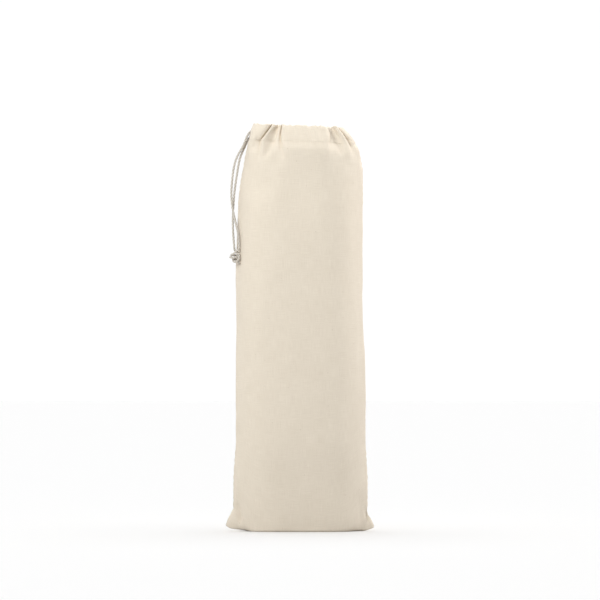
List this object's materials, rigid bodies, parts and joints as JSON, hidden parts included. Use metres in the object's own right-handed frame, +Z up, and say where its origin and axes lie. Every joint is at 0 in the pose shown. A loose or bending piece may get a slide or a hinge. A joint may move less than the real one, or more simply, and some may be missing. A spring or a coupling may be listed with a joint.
{
  "type": "drawstring bread bag",
  "caption": "Natural cotton drawstring bread bag, filled out and standing upright, its gathered mouth open and its cord knotted at one side.",
  "frame": {"origin": "middle of the bag's footprint, on the surface that it stands on", "axes": "+Z up from the base to the mouth, -Y the front, +X to the right of someone who faces the front, so that the drawstring hangs at -X"},
  "size_m": [0.1993, 0.0805, 0.5511],
  "materials": {
    "natural_cotton": "plain weave, matte",
    "cotton_cord": "twisted, matte"
  },
  "bodies": {
    "root": {"bag_body": "natural_cotton", "drawstring_in_casing": "cotton_cord", "drawstring_strand_outer": "cotton_cord", "drawstring_strand_inner": "cotton_cord", "drawstring_knot": "cotton_cord"}
  },
  "joints": []
}
